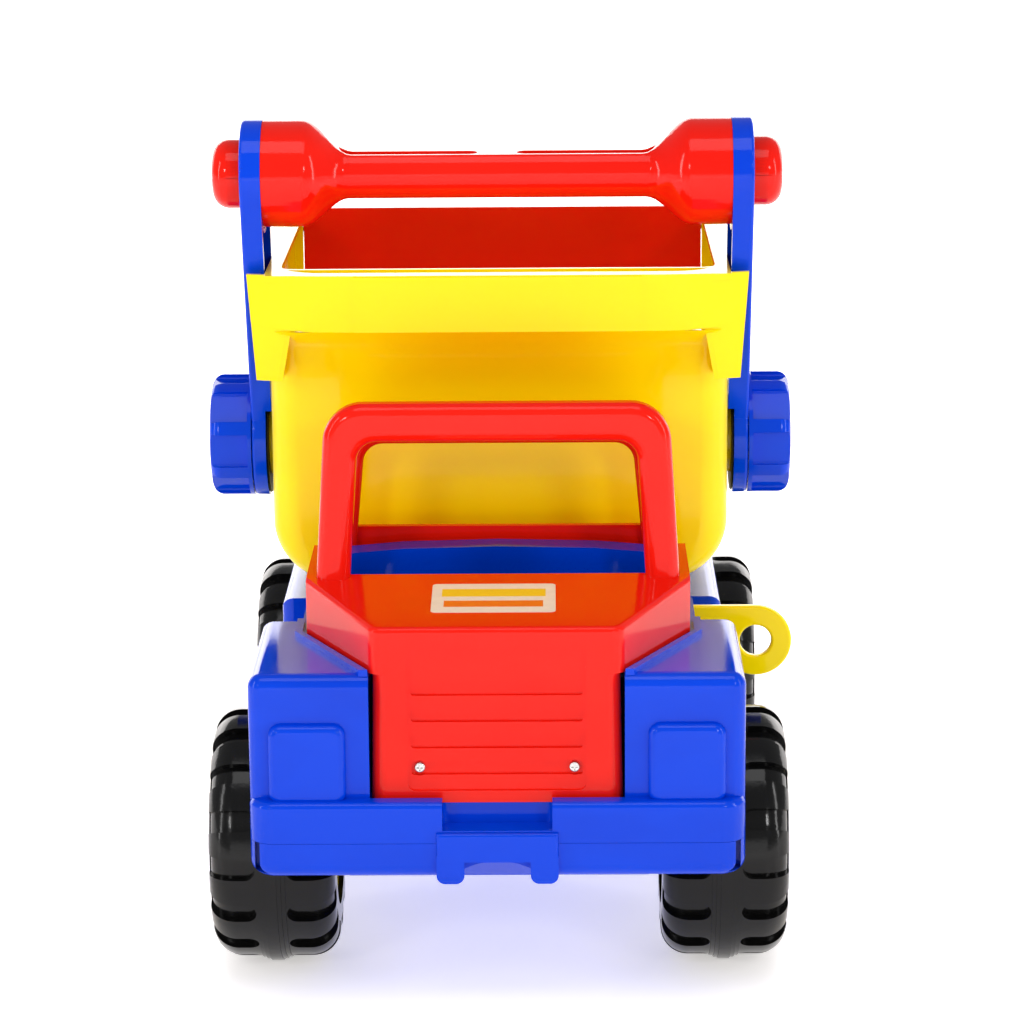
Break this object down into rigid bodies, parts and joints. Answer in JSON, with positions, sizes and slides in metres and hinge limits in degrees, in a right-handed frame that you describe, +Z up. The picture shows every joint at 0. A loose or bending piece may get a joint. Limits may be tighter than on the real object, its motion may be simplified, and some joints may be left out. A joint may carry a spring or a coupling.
{
  "type": "toy dump truck",
  "caption": "Ride-along moulded toy dump truck: open cab, tipping bucket with a hanging tailgate, push handle clamped by side knobs, and a ring-pull bucket latch.",
  "frame": {"origin": "bottom centre of the overall box at rest, on the floor midway between the outermost front and rear points", "axes": "+Z up, the nose points to -Y, +X is the side with the latch ring (the truck's left-hand side); X runs across the truck"},
  "size_m": [0.362, 0.5494, 0.492],
  "materials": {
    "blue_plastic": "glossy moulded cobalt-blue polypropylene",
    "red_plastic": "glossy moulded signal-red polypropylene",
    "yellow_plastic": "glossy moulded lemon-yellow polypropylene",
    "tyre_plastic": "satin black blow-moulded plastic tyre",
    "black_plastic": "thin black plastic washer",
    "screw_steel": "zinc-plated steel",
    "axle_steel": "drawn steel rod",
    "label_film": "blank cream sticker film"
  },
  "bodies": {
    "chassis": {"chassis_upper": "blue_plastic", "chassis_lower": "blue_plastic", "chassis_screws": "screw_steel", "hood_cab": "red_plastic", "grille_screws": "screw_steel", "hood_label": "label_film", "front_axle": "axle_steel", "rear_axle": "axle_steel", "front_axle_caps": "yellow_plastic", "rear_axle_caps": "yellow_plastic", "bucket_hinge_pin": "axle_steel"},
    "wheel_front_left": {"tyre_front_left": "tyre_plastic", "hub_front_left": "yellow_plastic"},
    "wheel_front_right": {"tyre_front_right": "tyre_plastic", "hub_front_right": "yellow_plastic"},
    "wheel_rear_left": {"tyre_rear_left": "tyre_plastic", "hub_rear_left": "yellow_plastic"},
    "wheel_rear_right": {"tyre_rear_right": "tyre_plastic", "hub_rear_right": "yellow_plastic"},
    "bucket": {"dump_bucket": "yellow_plastic", "tailgate_pins": "axle_steel", "pivot_bolts": "axle_steel", "pivot_washers": "black_plastic"},
    "gate": {"tailgate": "red_plastic"},
    "handle": {"handle_arm_left": "blue_plastic", "handle_arm_right": "blue_plastic", "handle_grip": "red_plastic", "handle_cap_left": "red_plastic", "handle_cap_right": "red_plastic"},
    "clamp_left": {"knob_left": "blue_plastic"},
    "clamp_right": {"knob_right": "blue_plastic"},
    "latch": {"latch_pull": "yellow_plastic"}
  },
  "joints": [
    {"name": "spin_front_left", "type": "hinge", "parent": "chassis", "child": "wheel_front_left", "pos_m": [0.133, -0.16875, 0.0775], "axis": [1, 0, 0], "continuous": true},
    {"name": "spin_front_right", "type": "hinge", "parent": "chassis", "child": "wheel_front_right", "pos_m": [-0.133, -0.16875, 0.0775], "axis": [1, 0, 0], "continuous": true},
    {"name": "spin_rear_left", "type": "hinge", "parent": "chassis", "child": "wheel_rear_left", "pos_m": [0.133, 0.19725, 0.0775], "axis": [1, 0, 0], "continuous": true},
    {"name": "spin_rear_right", "type": "hinge", "parent": "chassis", "child": "wheel_rear_right", "pos_m": [-0.133, 0.19725, 0.0775], "axis": [1, 0, 0], "continuous": true},
    {"name": "bucket_tip", "type": "hinge", "parent": "chassis", "child": "bucket", "pos_m": [0, 0.18325, 0.196], "axis": [-1, 0, 0], "range_deg": [0, 50]},
    {"name": "tailgate_swing", "type": "hinge", "parent": "bucket", "child": "gate", "pos_m": [0, 0.15525, 0.392], "axis": [1, 0, 0], "range_deg": [0, 55]},
    {"name": "handle_swing", "type": "hinge", "parent": "bucket", "child": "handle", "pos_m": [0, -0.00575, 0.286], "axis": [-1, 0, 0], "range_deg": [-1, 48]},
    {"name": "knob_turn_left", "type": "hinge", "parent": "bucket", "child": "clamp_left", "pos_m": [0.1675, -0.00575, 0.286], "axis": [1, 0, 0], "continuous": true},
    {"name": "knob_turn_right", "type": "hinge", "parent": "bucket", "child": "clamp_right", "pos_m": [-0.1675, -0.00575, 0.286], "axis": [1, 0, 0], "continuous": true},
    {"name": "latch_slide", "type": "slide", "parent": "chassis", "child": "latch", "axis": [1, 0, 0], "range_m": [-0.016, 0]}
  ]
}
